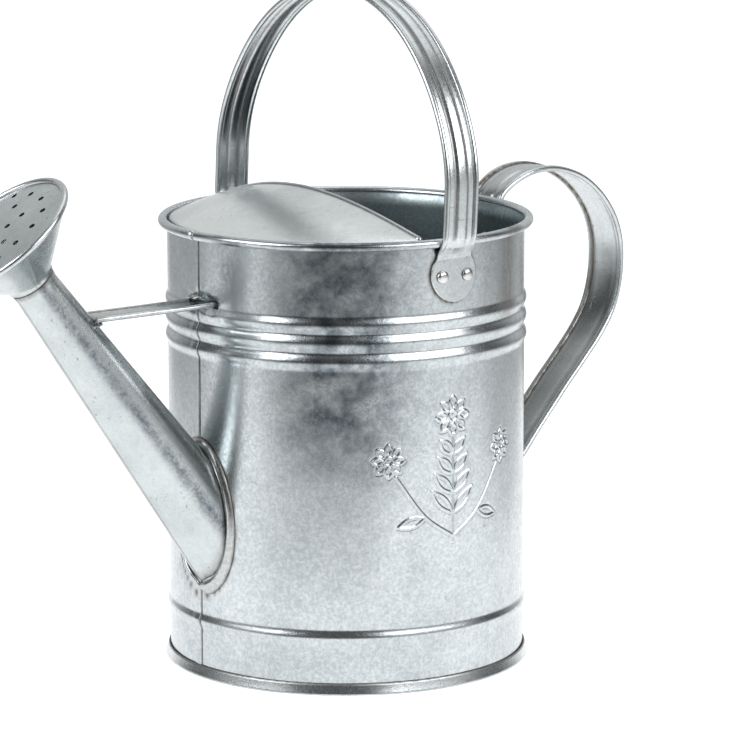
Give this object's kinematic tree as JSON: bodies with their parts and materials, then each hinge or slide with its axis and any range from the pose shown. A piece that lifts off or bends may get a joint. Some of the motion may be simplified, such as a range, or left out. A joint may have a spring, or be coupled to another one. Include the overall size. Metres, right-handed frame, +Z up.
{
  "type": "watering can",
  "caption": "Galvanised metal watering can with a half hood, tapered spout, round sprinkler rose, flat brace, fixed arched carrying handle and D-shaped rear handle",
  "frame": {"origin": "On the axis of the round pail, at the height of the floor it stands on. The recessed base disc is 2 mm above it.", "axes": "+Z up along the pail's axis. The spout points to -X. The rear handle points to +X, turned 4.5 degrees towards +Y. The carrying handle's two legs stand at -Y and +Y."},
  "size_m": [0.47, 0.2184, 0.3804],
  "materials": {
    "zinc_body": "galvanised sheet, mottled blue-grey spangle, satin",
    "zinc_fittings": "galvanised sheet, satin, lightly scratched",
    "solder": "dull tin solder with brown flux at its edges",
    "wire": "plain drawn steel wire, hidden in the rim",
    "rivet": "zinc plated, slightly dull"
  },
  "bodies": {
    "can": {"body_shell": "zinc_body", "rim_wire": "wire", "base_pan": "zinc_body", "hood": "zinc_body", "hood_edge": "zinc_body", "spout": "zinc_fittings", "spout_base_ring": "solder", "brace": "zinc_fittings", "solder_at_spout": "solder", "solder_at_pail": "solder", "bail_handle": "zinc_fittings", "bail_rivet_near_1": "rivet", "bail_rivet_near_2": "rivet", "bail_rivet_far_1": "rivet", "bail_rivet_far_2": "rivet", "rear_handle": "zinc_fittings", "rear_rivet_upper_1": "rivet", "rear_rivet_upper_2": "rivet", "rear_rivet_lower_1": "rivet", "rear_rivet_lower_2": "rivet"},
    "rose": {"rose_cone": "zinc_fittings", "rose_rim": "zinc_fittings", "rose_face": "zinc_fittings"}
  },
  "joints": [
    {"name": "rose_slide", "type": "slide", "parent": "can", "child": "rose", "axis": [-0.6101, 0, 0.7923], "range_m": [0, 0.06]}
  ]
}
